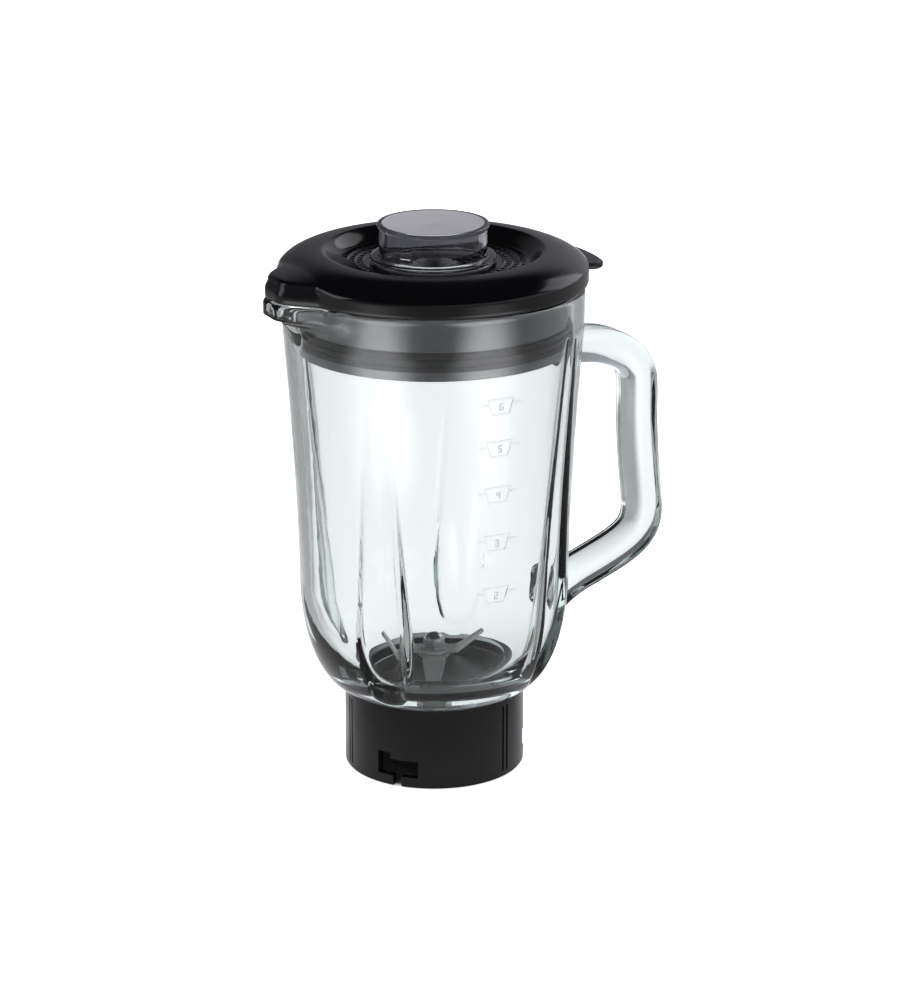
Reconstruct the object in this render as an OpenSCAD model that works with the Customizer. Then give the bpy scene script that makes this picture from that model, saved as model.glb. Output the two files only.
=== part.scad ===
// Glass jug assembly of a countertop blender: fluted glass jug with a moulded handle and
// spout, black lid with a clear filler cap, and a black locking collar that holds the
// blade unit. Millimetres. The origin is the centre of the collar's bottom rim, +Z is up
// along the jug axis, +X points to the handle and -X to the spout.

/* [Jug] */
// Outside diameter of the glass at the rim
rim_d = 137; // [125:1:165]
// Outside diameter of the glass body above its rounded base
body_d = 123.6; // [104:0.2:149]
// Height of the glass from the top of the collar to the rim
jug_h = 192; // [154:1:232]
// Thickness of the glass wall
glass_t = 4.6; // [3.8:0.1:5.6]
// Depth of the four flutes near the base
flute_depth = 5; // [3:0.1:6]

/* [Handle] */
// Reach of the handle's outer face from the jug axis
handle_reach = 118; // [112:1:142]
// Width of the handle across the hand
handle_w = 18; // [15:0.5:22]
// Thickness of the handle from its finger side to its outer face
handle_t = 17; // [14:0.5:20]

/* [Lid] */
// Diameter of the lid's skirt
lid_d = 140; // [138:1:168]
// Height of the lid's dome above the glass rim
dome_h = 14.4; // [12:0.2:18]
// Depth of the plug that hangs into the jug
plug_h = 29.5; // [24:0.5:34]
// Diameter of the filler cap's cup
cap_d = 48.6; // [40:0.2:56]
// Height of the filler cap above the floor of the lid's recess
cap_h = 17.8; // [14:0.2:22]

/* [Collar] */
// Outside diameter of the locking collar
collar_d = 83; // [76:1:92]
// Height of the locking collar
collar_h = 38; // [36:1:45]

/* [Blade unit] */
// Radius reached by the tips of the lower blade
blade_reach = 27; // [21:0.5:29]
// Diameter of the blade spindle
spindle_d = 8; // [7:0.1:9]

/* [Hidden] */
$fn = 96;
eps = 0.01;

// Heights
rim_z = collar_h + jug_h;
shoulder_gap = 0.5;
shoulder_z = collar_h + shoulder_gap;
foot_z = collar_h - 14;
gasket_t = 2.5;
flange_t = 3.5;
flange_z = foot_z - gasket_t - flange_t;
flat_gap = 0.1;
ledge_t = 3.5;
ledge_z = flange_z - flat_gap - ledge_t;
lid_gap = 0.3;
lid_z = rim_z + lid_gap;
dome_z = lid_z + dome_h;
recess_z = dome_z - 5.9;

// Radii
rim_r = rim_d / 2;
body_r = body_d / 2;
collar_r = collar_d / 2;
collar_bore_r = collar_r - 3.3;
foot_r = collar_bore_r - 0.6;
mouth_r = foot_r - 3.6;
lid_r = lid_d / 2;
neck_in_r = rim_r - glass_t - 1;
plug_r = neck_in_r - 2.1;
seal_r = neck_in_r - 1;
cap_r = cap_d / 2;

// Glass body profile
bowl_r = collar_r - 1.5;
bowl_top_z = shoulder_z + 51.5 * jug_h / 192;
flare_z = rim_z - 20;
flare_r = rim_r - 0.3;
bowl_steps = 14;
wall_steps = 12;
floor_z = shoulder_z + 8.5;

// Flutes
flute_r = 7;
rib_r = flute_r + glass_t - 0.6;
flute_slope = 0.1;
flute_mid_z = collar_h + 82 * jug_h / 192;
flute_axis_r = body_r + flute_r - flute_depth + 1.7;
flute_angles = [45, 135, 225, 315];

// Spout
spout_r = 12;
spout_wall = 3.3;
spout_tilt = 31.5;
spout_low_z = rim_z - 24;
spout_reach = rim_r + 11.9;

// Measuring marks: one cup apart
mark_count = 5;
mark_z = [for (f = [0.337, 0.467, 0.586, 0.699, 0.802]) collar_h + f * jug_h];
mark_first = 2;
mark_relief = 0.5;
mark_line = 0.7;

// Handle: centre line as shares of the reach from the wall and of the jug height
handle_half = handle_t / 2;
handle_round = 5;
handle_layers = 3;
handle_line = [[-0.12, 0.802], [0.33, 0.797], [0.56, 0.785], [0.77, 0.758], [0.9, 0.721],
  [0.93, 0.677], [0.926, 0.594], [0.943, 0.516], [0.968, 0.448], [0.998, 0.38],
  [1, 0.336], [0.945, 0.301], [0.795, 0.27], [0.525, 0.24], [0.17, 0.206], [-0.12, 0.177]];
handle_pts = [for (p = handle_line) [
  body_r + p[0] * (handle_reach - handle_half - body_r),
  collar_h + p[1] * jug_h]];
handle_last = len(handle_pts) - 1;

// Lid
lid_t = 2.4;
skirt_h = 8.2;
ridge_r = lid_r * 0.7;
neck_t = 2.4;
opening_r = cap_r + 0.5;
neck_low_z = recess_z - 11;
plug_t = 2.5;
plug_low_z = lid_z - plug_h;
plug_flange_t = 2;
plug_groove_t = 1.6;
seal_z = plug_low_z + 4;
seal_h = 9;
seal_fins = 3;
vent_rings = 3;
vent_count = 40;
vent_r = 0.85;
tab_reach = lid_r + 10;
tab_half_angle = 15;
tab_t = 3;
beak_reach = spout_reach - 0.8;
beak_nose_half = 6;
beak_tip_half = 9.2;
beak_root_half = 19;
beak_corner_x = beak_reach - 2.4;
beak_root_x = lid_r - 2.6;
beak_back_x = lid_r - 11;
beak_crest_z = dome_z - 1.9;
beak_front_z = dome_z - 4.6;
beak_shoulder_z = lid_z + skirt_h + 0.6;
beak_front_cut = 1.6;

// Filler cap
cap_wall = 2;
cap_top_z = recess_z + cap_h;
cap_top_t = 2;
cap_lip = 0.9;
cap_ring_r = cap_r + 4.2;
cap_seal_t = 1;
cap_ring_t = 2;
cap_neck_z = recess_z - 16;
cap_web_h = 6.5;
cap_web_t = 2.4;

// Collar slots
slot_count = 3;
slot_turn = -141;
slot_half = 14;
slot_low = 5;
slot_high = 13;
slot_step = 3;
entry_w = 4;

// Blade unit
hub_r = 10.5;
hub_low_z = ledge_z - 4.5;
hub_top_z = collar_h + 8;
bore_r = spindle_d / 2 + 2;
run_gap = 0.05;
spindle_r = spindle_d / 2;
thread_r = spindle_r - 0.8;
bush_h = 9;
dome_r = mouth_r - 0.6;
washer_gap = 0.3;
washer_t = 1.1;
seat_z = hub_top_z + washer_gap + washer_t;
blade_t = 1.6;
blade_hub_r = 7.5;
lower_bend_r = blade_reach * 0.45;
lower_root_w = 11;
lower_tip_w = 7;
lower_bend = 32;
lower_turn = 63;
upper_bend_r = blade_reach * 0.4;
upper_reach = blade_reach * 0.85;
upper_root_w = 9.5;
upper_tip_w = 4;
upper_bend = -42;
upper_turn = lower_turn + 90;
spacer_t = 1.2;
spacer_z = seat_z + blade_t;
upper_z = spacer_z + spacer_t;
lock_z = upper_z + blade_t;
lock_t = 1;
nut_z = lock_z + lock_t;
nut_af = 10;
nut_h = 4.2;
clip_t = 0.8;
clip_z = hub_low_z - 0.4 - clip_t;
coupling_top_z = clip_z - 0.3;
coupling_h = coupling_top_z - 0.9;
coupling_web = 3.6;
coupling_r = 15;
coupling_dogs = 6;
insert_r = 6;

// A hollow or solid drum between two heights
module drum(r_out, r_in, z0, z1) {
  difference() {
    translate([0, 0, z0]) cylinder(h = z1 - z0, r = r_out);
    if (r_in > 0) translate([0, 0, z0 - 1]) cylinder(h = z1 - z0 + 2, r = r_in);
  }
}

// Outside radius of the glass at a height
function bowl_out(z) =
  bowl_r + (body_r - bowl_r) * sqrt(max(0, 1 - pow((bowl_top_z - z) / (bowl_top_z - shoulder_z), 2)));
function wall_out(z) =
  body_r + (flare_r - body_r) * pow(max(0, z - bowl_top_z) / (flare_z - bowl_top_z), 1.5);
function glass_out(z) = z < bowl_top_z ? bowl_out(z) : z < flare_z ? wall_out(z) : flare_r
  + (rim_r - flare_r) * (z - flare_z) / (rim_z - flare_z);

// Inside radius of the glass at a height
function bowl_in(z) =
  mouth_r + (body_r - glass_t - mouth_r)
  * sqrt(max(0, 1 - pow((bowl_top_z - z) / (bowl_top_z - floor_z), 2)));
function glass_in(z) = z < bowl_top_z ? bowl_in(z) : glass_out(z) - glass_t;

// Heights that space the rings of the profile closely where it curves most
function bowl_heights(low) = [for (i = [0 : bowl_steps - 1])
  bowl_top_z - (bowl_top_z - low) * cos(90 * i / bowl_steps)];
function wall_heights() = [for (i = [0 : wall_steps])
  bowl_top_z + (rim_z - bowl_top_z) * i / wall_steps];

module glass_outside(grow = 0) {
  heights = concat(bowl_heights(shoulder_z), wall_heights());
  rotate_extrude() polygon(concat(
    [[0, shoulder_z]],
    [for (z = heights) [glass_out(z) + grow, z]],
    [[0, rim_z]]));
}

module glass_cavity() {
  heights = concat(bowl_heights(floor_z), wall_heights());
  rotate_extrude() polygon(concat(
    [[0, foot_z - 1], [mouth_r, foot_z - 1]],
    [for (z = heights) [glass_in(z), z]],
    [[glass_in(rim_z), rim_z + 1], [0, rim_z + 1]]));
}

// Leaning cylinder that meets the wall at a low angle, for one flute or its inner rib
module flute_bar(angle, r) {
  lean = atan(flute_slope);
  low = collar_h - 6 - flute_mid_z;
  rotate([0, 0, angle]) translate([flute_axis_r, 0, flute_mid_z]) rotate([0, lean, 0])
    translate([0, 0, low]) cylinder(h = rim_z - 14 - flute_mid_z - low, r = r);
}

// Leaning cylinder that follows the spout
module spout_bar(r) {
  axis_top = spout_reach - spout_r / cos(spout_tilt);
  translate([-axis_top, 0, rim_z]) rotate([0, -spout_tilt, 0])
    translate([0, 0, -40]) cylinder(h = 60, r = r);
}

module spout_band() {
  translate([-100, -30, spout_low_z]) cube([100, 60, rim_z - spout_low_z]);
}

// Unit normal of one straight length of the handle's centre line
function length_normal(i) =
  let (d = handle_pts[i + 1] - handle_pts[i]) [-d[1], d[0]] / norm(d);

// Direction from a centre point to the outline, long enough to keep both sides parallel
function corner_normal(i) =
  i == 0 ? length_normal(0)
  : i == handle_last ? length_normal(handle_last - 1)
  : let (a = length_normal(i - 1), b = length_normal(i)) (a + b) / (1 + a * b);

// One layer of the handle: its side outline, so thick, across so much of its width
module handle_layer(half, across) {
  rotate([90, 0, 0]) translate([0, 0, -across]) linear_extrude(height = 2 * across)
    polygon(concat(
      [for (i = [0 : handle_last]) handle_pts[i] + corner_normal(i) * half],
      [for (i = [handle_last : -1 : 0]) handle_pts[i] - corner_normal(i) * half]));
}

// The handle's long edges are rounded in even layers
module handle() {
  for (i = [0 : handle_layers]) {
    turn = 90 * i / (handle_layers + 0.5);
    handle_layer(
      handle_half - handle_round * (1 - cos(turn)),
      handle_w / 2 - handle_round * (1 - sin(turn)));
  }
}

// Bars of a seven-bar numeral: top, upper left and right, middle, lower left and right, base
numeral_bars = [[1, 1, 1, 0, 1, 1, 1], [0, 0, 1, 0, 0, 1, 0], [1, 0, 1, 1, 1, 0, 1],
  [1, 0, 1, 1, 0, 1, 1], [0, 1, 1, 1, 0, 1, 0], [1, 1, 0, 1, 0, 1, 1],
  [1, 1, 0, 1, 1, 1, 1]];

module numeral(n) {
  w = 1.5;
  t = 0.4;
  bars = numeral_bars[n];
  places = [[0, w], [-w / 2, w / 2], [w / 2, w / 2], [0, 0], [-w / 2, -w / 2],
    [w / 2, -w / 2], [0, -w]];
  for (i = [0 : 6]) if (bars[i] == 1) translate(places[i])
    square(i == 0 || i == 3 || i == 6 ? [w + t, t] : [t, w + t], center = true);
}

// Raised outline of a measuring cup with a level line on both sides
module cup_mark(n) {
  top = 6.3;
  low = 4.1;
  drop = 7;
  difference() {
    polygon([[-top, 0], [top, 0], [low, -drop], [-low, -drop]]);
    polygon([[-top + 1.2, -mark_line], [top - 1.2, -mark_line],
      [low - 0.5, mark_line - drop], [0.5 - low, mark_line - drop]]);
  }
  for (s = [-1, 1]) translate([s * (top + 2), -drop / 3]) square([3.4, mark_line], center = true);
  translate([0, -drop / 2]) numeral(n);
}

module marks() {
  intersection() {
    glass_outside(mark_relief);
    for (i = [0 : mark_count - 1])
      translate([0, 0, mark_z[i]]) rotate([90, 0, 0])
        linear_extrude(height = rim_r + 2) cup_mark(i + mark_first);
  }
}

module glass_jug() {
  difference() {
    union() {
      difference() {
        union() {
          glass_outside();
          drum(foot_r, 0, foot_z, shoulder_z + 1);
          handle();
          intersection() { spout_bar(spout_r); spout_band(); }
          marks();
        }
        glass_cavity();
        intersection() {
          spout_bar(spout_r - spout_wall);
          translate([-100, -30, spout_low_z]) cube([100, 60, 60]);
        }
      }
      intersection() {
        glass_outside();
        for (a = flute_angles) flute_bar(a, rib_r);
      }
    }
    for (a = flute_angles) flute_bar(a, flute_r);
  }
}

// Plan of the spout cover: a short nose with cut corners
module beak_plan() {
  polygon([[-beak_reach, -beak_nose_half], [-beak_reach, beak_nose_half],
    [-beak_corner_x, beak_tip_half], [-beak_root_x, beak_root_half],
    [-beak_back_x, beak_root_half], [-beak_back_x, -beak_root_half],
    [-beak_root_x, -beak_root_half], [-beak_corner_x, -beak_tip_half]]);
}

// Section of the spout cover across the spout: flat roof with cut shoulders
module beak_section() {
  rotate([90, 0, -90]) linear_extrude(height = beak_reach + 1)
    polygon([[-beak_root_half, lid_z], [beak_root_half, lid_z],
      [beak_root_half, beak_shoulder_z], [beak_tip_half, beak_crest_z],
      [-beak_tip_half, beak_crest_z], [-beak_root_half, beak_shoulder_z]]);
}

// Side outline of the spout cover: roof falling to a sloped front
module beak_side() {
  rotate([90, 0, 0]) translate([0, 0, -beak_root_half]) linear_extrude(height = 2 * beak_root_half)
    polygon([[-beak_back_x, lid_z], [-beak_reach, lid_z], [-beak_reach, lid_z + skirt_h / 2],
      [-beak_reach + beak_front_cut, beak_front_z], [-beak_back_x, beak_crest_z]]);
}

module beak() {
  intersection() {
    translate([0, 0, lid_z]) linear_extrude(height = dome_h) beak_plan();
    beak_section();
    beak_side();
  }
}

module dome_outside() {
  rotate_extrude() polygon([[0, lid_z], [lid_r - 0.8, lid_z], [lid_r, lid_z + 1],
    [lid_r, lid_z + skirt_h - 1.9], [lid_r - 0.5, lid_z + skirt_h - 0.3],
    [lid_r - 3.3, lid_z + skirt_h + 2.1], [lid_r - 8, dome_z - 2], [lid_r - 14, dome_z - 0.5],
    [ridge_r + 1.6, dome_z], [ridge_r, dome_z - 0.3], [ridge_r - 1.9, dome_z - 2.9],
    [ridge_r - 4, recess_z + 0.7], [ridge_r - 6, recess_z], [0, recess_z]]);
}

module dome_inside() {
  rotate_extrude() polygon([[opening_r + neck_t, lid_z - 1], [lid_r - lid_t - 0.8, lid_z - 1],
    [lid_r - lid_t - 0.8, lid_z + skirt_h - 2.4], [lid_r - 6.4, lid_z + skirt_h - 0.4],
    [lid_r - 9.5, dome_z - 4.4], [lid_r - 15, dome_z - 2.9], [ridge_r + 1.4, dome_z - 2.5],
    [ridge_r - 3, recess_z - 1.9], [ridge_r - 6, recess_z - lid_t],
    [opening_r + neck_t, recess_z - lid_t]]);
}

// Rounded grip plate on the handle side
module tab() {
  intersection() {
    translate([0, 0, lid_z + 0.4]) difference() {
      cylinder(h = tab_t, r = tab_reach);
      translate([0, 0, -1]) cylinder(h = tab_t + 2, r = lid_r - 3);
    }
    translate([0, 0, lid_z]) linear_extrude(height = 2 * tab_t) union() {
      polygon([[0, 0],
        [2 * lid_r * cos(tab_half_angle), -2 * lid_r * sin(tab_half_angle)],
        [2 * lid_r * cos(tab_half_angle), 2 * lid_r * sin(tab_half_angle)]]);
    }
  }
}

// Small steam slots in rings on the recess floor
module vents() {
  for (ring = [0 : vent_rings - 1], i = [0 : vent_count - 1])
    rotate([0, 0, (i + 0.5 * (ring % 2)) * 360 / vent_count])
      translate([ridge_r - 8.2 - 3.6 * ring, 0, recess_z - lid_t - 1])
        cylinder(h = lid_t + 2, r = vent_r);
}

module vent_ridges() {
  for (ring = [0 : vent_rings - 2]) {
    r = ridge_r - 10 - 3.6 * ring;
    drum(r + 0.5, r - 0.5, recess_z - 0.5, recess_z + 0.5);
  }
}

module lid_shell() {
  difference() {
    union() {
      difference() {
        union() {
          dome_outside();
          beak();
          tab();
        }
        dome_inside();
      }
      intersection() {
        dome_outside();
        drum(opening_r + neck_t, 0, lid_z, recess_z);
      }
      drum(opening_r + neck_t, 0, neck_low_z, lid_z + 1);
      intersection() {
        dome_outside();
        drum(plug_r, plug_r - plug_t, lid_z + plug_flange_t, dome_z);
      }
      vent_ridges();
    }
    translate([0, 0, neck_low_z - 1]) cylinder(h = 40, r = opening_r);
    vents();
  }
}

module lid_plug() {
  difference() {
    union() {
      drum(plug_r, plug_r - plug_t, plug_low_z, lid_z + plug_flange_t);
      drum(lid_r - lid_t - 0.9, plug_r - plug_t, lid_z, lid_z + plug_flange_t);
    }
    drum(plug_r + 1, plug_r - plug_groove_t, seal_z, seal_z + seal_h);
  }
}

module lid_seal() {
  pitch = seal_h / seal_fins;
  drum(plug_r, plug_r - plug_groove_t, seal_z, seal_z + seal_h);
  for (i = [0 : seal_fins - 1])
    drum(seal_r, plug_r - plug_groove_t, seal_z + pitch * i + 0.7, seal_z + pitch * (i + 1) - 0.7);
}

module filler_cap() {
  difference() {
    union() {
      drum(cap_r, 0, cap_neck_z, cap_top_z);
      drum(cap_r + cap_lip, 0, cap_top_z - cap_top_t, cap_top_z);
      drum(cap_ring_r, 0, recess_z + cap_seal_t, recess_z + cap_seal_t + cap_ring_t);
    }
    translate([0, 0, cap_neck_z - 1])
      cylinder(h = cap_top_z - cap_top_t - cap_neck_z + 1, r = cap_r - cap_wall);
    translate([0, 0, cap_top_z - 0.5]) cylinder(h = 1, r = cap_r - cap_wall);
  }
  translate([-cap_r + cap_wall / 2, -cap_web_t / 2, cap_top_z - cap_top_t - cap_web_h])
    cube([2 * cap_r - cap_wall, cap_web_t, cap_web_h + cap_top_t / 2]);
  for (a = [-146, 34]) rotate([0, 0, a])
    translate([cap_r - 1, -2.7, recess_z + cap_seal_t + cap_ring_t + 0.8]) cube([1.7, 5.4, 2.6]);
}

module filler_cap_seal() {
  drum(cap_r + 2.8, cap_r, recess_z, recess_z + cap_seal_t);
}

// Angular window through the collar wall
module collar_window(a0, a1, z0, z1) {
  translate([0, 0, z0]) rotate([0, 0, a0])
    rotate_extrude(angle = a1 - a0) translate([collar_bore_r - 2, 0]) square([8, z1 - z0]);
}

module locking_collar() {
  difference() {
    union() {
      drum(collar_r, collar_bore_r, 0.8, collar_h);
      drum(collar_r - 0.6, collar_bore_r, 0, 1);
      drum(collar_bore_r + 1, mouth_r - 3, ledge_z, ledge_z + ledge_t);
    }
    for (i = [0 : slot_count - 1]) rotate([0, 0, slot_turn + i * 360 / slot_count]) {
      collar_window(-slot_half, slot_half, slot_low, slot_high);
      collar_window(-slot_half, -slot_half / 3, slot_low + 1, slot_high + slot_step);
      translate([collar_bore_r - 2, -entry_w / 2, -1]) cube([8, entry_w, slot_low + 2]);
      for (a = [-42, -46]) rotate([0, 0, a])
        translate([collar_r - 0.6, -0.6, 3]) cube([3, 1.2, collar_h - 6]);
    }
  }
}

module jug_gasket() {
  drum(foot_r - 0.2, mouth_r - 0.4, foot_z - gasket_t, foot_z);
}

module blade_carrier() {
  low = flange_z;
  rise = hub_top_z - foot_z;
  difference() {
    rotate_extrude() polygon([[0, hub_low_z], [hub_r, hub_low_z], [hub_r, low + 12],
      [17, low + 14], [dome_r - 6, low + 9], [dome_r - 3, low + 5], [dome_r - 3, low],
      [foot_r - 0.2, low], [foot_r - 0.2, low + flange_t], [dome_r, low + flange_t],
      [dome_r, foot_z + 2], [dome_r - 5.5, foot_z + 0.42 * rise],
      [18, foot_z + 0.72 * rise], [hub_r, hub_top_z - 2], [hub_r, hub_top_z], [0, hub_top_z]]);
    translate([0, 0, hub_low_z - 1]) cylinder(h = hub_top_z - hub_low_z + 2, r = bore_r);
  }
}

module upper_bearing() {
  drum(bore_r, spindle_r + run_gap, hub_top_z - bush_h, hub_top_z);
}

module lower_bearing() {
  drum(bore_r, spindle_r + run_gap, hub_low_z, hub_low_z + bush_h);
}

module shaft_seal() {
  low = hub_top_z - bush_h - 6;
  drum(bore_r, bore_r - 0.9, low, low + 5);
  drum(bore_r, spindle_r + run_gap, low, low + 1);
  drum(bore_r, spindle_r + run_gap, low + 4, low + 5);
}

module blade_spindle() {
  difference() {
    union() {
      drum(spindle_r, 0, coupling_top_z, seat_z);
      drum(thread_r, 0, seat_z - 1, nut_z + nut_h);
      drum(thread_r, 0, 1.6, coupling_top_z + 1);
    }
    drum(spindle_r + 1, spindle_r - 0.6, clip_z, clip_z + clip_t);
  }
}

// Open ring that sits in the spindle's groove
module spindle_circlip() {
  difference() {
    drum(spindle_r + 2.2, spindle_r - 0.6, clip_z, clip_z + clip_t);
    translate([0, -1.5, clip_z - 1]) cube([spindle_r + 4, 3, clip_t + 2]);
  }
}

module thrust_washer() {
  drum(bore_r + 1.5, spindle_r, hub_top_z + washer_gap, seat_z);
}

// Flat hub of a blade pair with its spindle hole
module blade_hub(z, r) {
  drum(r, thread_r, z, z + blade_t);
}

// One blade arm: a flat root and a tip bent by the angle
module blade_arm(z, bend_r, reach, root_w, tip_w, bend) {
  run = (reach - bend_r) / cos(bend);
  translate([thread_r + 0.5, -root_w / 2, z]) cube([bend_r - thread_r, root_w, blade_t]);
  translate([bend_r, 0, z + blade_t / 2]) rotate([0, bend, 0])
    translate([0, 0, -blade_t / 2]) linear_extrude(height = blade_t) union() {
      polygon([[-0.3, -root_w / 2], [run - tip_w / 2, -tip_w / 2],
        [run - tip_w / 2, tip_w / 2], [-0.3, root_w / 2]]);
      translate([run - tip_w / 2, 0]) circle(r = tip_w / 2);
    }
}

module blade_pair(z, bend_r, reach, root_w, tip_w, bend, turn) {
  difference() {
    union() {
      blade_hub(z, blade_hub_r);
      for (s = [0, 180]) rotate([0, 0, turn + s])
        blade_arm(z, bend_r, reach, root_w, tip_w, bend);
    }
    translate([0, 0, z - 1]) cylinder(h = blade_t + 2, r = thread_r);
  }
}

module lower_blade() {
  blade_pair(seat_z, lower_bend_r, blade_reach, lower_root_w, lower_tip_w, lower_bend, lower_turn);
}

module upper_blade() {
  blade_pair(upper_z, upper_bend_r, upper_reach, upper_root_w, upper_tip_w, upper_bend, upper_turn);
}

module blade_spacer() {
  drum(6.2, thread_r, spacer_z, spacer_z + spacer_t);
}

module lock_washer() {
  drum(6.4, thread_r, lock_z, lock_z + lock_t);
}

// Domed hexagon nut
module cap_nut() {
  difference() {
    union() {
      translate([0, 0, nut_z]) cylinder(h = nut_h, r = nut_af / 2 / cos(30), $fn = 6);
      intersection() {
        translate([0, 0, nut_z + nut_h - 1.2]) sphere(r = nut_af / 2);
        translate([0, 0, nut_z + nut_h - 0.5]) cylinder(h = nut_af, r = nut_af / 2);
      }
    }
    translate([0, 0, nut_z - 1]) cylinder(h = nut_h + 1, r = thread_r);
  }
}

// Toothed cup that takes the drive from the motor base
module drive_coupling() {
  difference() {
    union() {
      drum(coupling_r, insert_r, coupling_top_z - coupling_web, coupling_top_z);
      for (i = [0 : coupling_dogs - 1]) rotate([0, 0, i * 360 / coupling_dogs])
        intersection() {
          translate([8.5, -2.4, coupling_top_z - coupling_h]) cube([8, 4.8, coupling_h - 1]);
          drum(coupling_r - 0.6, 0, 0, coupling_top_z);
        }
    }
  }
}

module coupling_hub() {
  drum(insert_r, thread_r, coupling_top_z - coupling_web - 1, coupling_top_z);
}

color([0.80, 0.90, 0.86, 0.4]) glass_jug();
color([0.04, 0.04, 0.045]) lid_shell();
color([0.12, 0.12, 0.13]) lid_plug();
color([0.2, 0.2, 0.2]) lid_seal();
color([0.85, 0.87, 0.9, 0.4]) filler_cap();
color([0.6, 0.6, 0.62]) filler_cap_seal();
color([0.03, 0.03, 0.03]) locking_collar();
color([0.15, 0.15, 0.15]) jug_gasket();
color([0.07, 0.07, 0.08]) blade_carrier();
color([0.7, 0.5, 0.25]) upper_bearing();
color([0.7, 0.5, 0.25]) lower_bearing();
color([0.1, 0.1, 0.1]) shaft_seal();
color([0.7, 0.7, 0.72]) blade_spindle();
color([0.5, 0.5, 0.52]) spindle_circlip();
color([0.75, 0.75, 0.77]) thrust_washer();
color([0.75, 0.75, 0.76]) lower_blade();
color([0.7, 0.7, 0.72]) blade_spacer();
color([0.75, 0.75, 0.76]) upper_blade();
color([0.7, 0.7, 0.72]) lock_washer();
color([0.78, 0.78, 0.8]) cap_nut();
color([0.08, 0.08, 0.08]) drive_coupling();
color([0.6, 0.6, 0.62]) coupling_hub();
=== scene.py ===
# %% [markdown]
# # Glass jug assembly of a countertop blender
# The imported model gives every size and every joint. This lesson dresses it: the round parts
# are turned again with softened edges, the glass is grown as one smooth skin, and each
# finish is a small procedural material. All lengths below are metres; `MM` turns a
# millimetre figure from a maker's drawing into metres.

# %% Load the frame
import math

import bmesh
import bpy
import numpy as np
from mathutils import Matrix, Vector


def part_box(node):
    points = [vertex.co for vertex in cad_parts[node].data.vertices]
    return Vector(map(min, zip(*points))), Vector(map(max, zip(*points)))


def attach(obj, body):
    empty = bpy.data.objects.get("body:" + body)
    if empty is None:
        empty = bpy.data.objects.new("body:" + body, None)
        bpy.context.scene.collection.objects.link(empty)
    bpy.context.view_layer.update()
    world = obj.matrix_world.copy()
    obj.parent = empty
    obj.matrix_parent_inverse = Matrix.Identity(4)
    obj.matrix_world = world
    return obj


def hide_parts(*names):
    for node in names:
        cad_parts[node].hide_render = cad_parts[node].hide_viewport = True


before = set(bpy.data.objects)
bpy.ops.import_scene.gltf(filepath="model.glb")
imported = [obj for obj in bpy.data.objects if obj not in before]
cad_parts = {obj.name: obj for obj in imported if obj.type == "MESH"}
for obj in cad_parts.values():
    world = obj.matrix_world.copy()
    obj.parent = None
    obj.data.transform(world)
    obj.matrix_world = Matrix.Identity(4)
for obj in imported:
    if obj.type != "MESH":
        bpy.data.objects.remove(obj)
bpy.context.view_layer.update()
MM = 0.001

# %% [markdown]
# ## Sizes taken from the frame
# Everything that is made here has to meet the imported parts, so the leading sizes are read
# from their boxes: the rim height from the glass, the lid and collar radii from their
# widths, and the handle's reach from the far side of the glass.

# %% Leading sizes
glass_low, glass_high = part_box("glass_jug")
lid_low, lid_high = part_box("lid_shell")
plug_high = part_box("lid_plug")[1]
cap_low, cap_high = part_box("filler_cap")
collar_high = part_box("locking_collar")[1]
rim_z = glass_high.z
foot_z = glass_low.z
collar_r = collar_high.x
collar_z = collar_high.z
handle_reach = glass_high.x
lid_r = lid_high.y
lid_z = plug_high.z - 2 * MM
dome_z = lid_high.z
print("rim", rim_z, "lid", lid_z, dome_z, "collar", collar_r, collar_z, "reach", handle_reach)

# %% [markdown]
# ## Helpers for closed skins
# Most of this object is round. A closed loop of rings, each ring with the same number of
# points, makes a watertight skin with even quads, which shades cleanly and refracts
# cleanly. Two helpers do all of it: one links rings, the other turns a flat outline.

# %% Skin from rings
def new_piece(name, verts, faces, smooth_angle=40):
    mesh = bpy.data.meshes.new(name)
    mesh.from_pydata([tuple(v) for v in verts], [], faces)
    mesh.update()
    piece = bpy.data.objects.new(name, mesh)
    bpy.context.scene.collection.objects.link(piece)
    mesh.shade_smooth()
    mesh.set_sharp_from_angle(angle=math.radians(smooth_angle))
    return piece


def ring_faces(rows, around, loop):
    faces = []
    last = rows if loop else rows - 1
    for i in range(last):
        a = i * around
        b = (i + 1) % rows * around
        for j in range(around):
            k = (j + 1) % around
            faces.append((a + j, a + k, b + k, b + j))
    return faces


def skin(name, rings, loop=True, smooth_angle=40):
    """Closed skin from rings of points; with loop off, the end rings are filled."""
    around = len(rings[0])
    verts = [p for ring in rings for p in ring]
    faces = ring_faces(len(rings), around, loop)
    if not loop:
        faces.append(tuple(reversed(range(around))))
        first = (len(rings) - 1) * around
        faces.append(tuple(range(first, first + around)))
    return new_piece(name, verts, faces, smooth_angle)


# %% Turned pieces with rounded corners
corner_share = 0.45


def softened(outline, radius, steps=3):
    """The closed outline with each corner replaced by a short arc."""
    soft = []
    count = len(outline)
    for i, corner in enumerate(outline):
        here = Vector(corner)
        back = Vector(outline[i - 1]) - here
        ahead = Vector(outline[(i + 1) % count]) - here
        cut = min(radius, back.length * corner_share, ahead.length * corner_share)
        start = here + back.normalized() * cut
        stop = here + ahead.normalized() * cut
        for s in range(steps + 1):
            t = s / steps
            soft.append((1 - t) ** 2 * start + 2 * t * (1 - t) * here + t ** 2 * stop)
    return soft


def turned(name, outline, radius=0.4 * MM, around=128, smooth_angle=50):
    """Solid of revolution about the jug axis from a closed (radius, height) outline."""
    angles = [2 * math.pi * j / around for j in range(around)]
    rings = [
        [(r * math.cos(a), r * math.sin(a), z) for a in angles]
        for r, z in softened(outline, radius)
    ]
    return skin(name, rings, True, smooth_angle)


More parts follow.
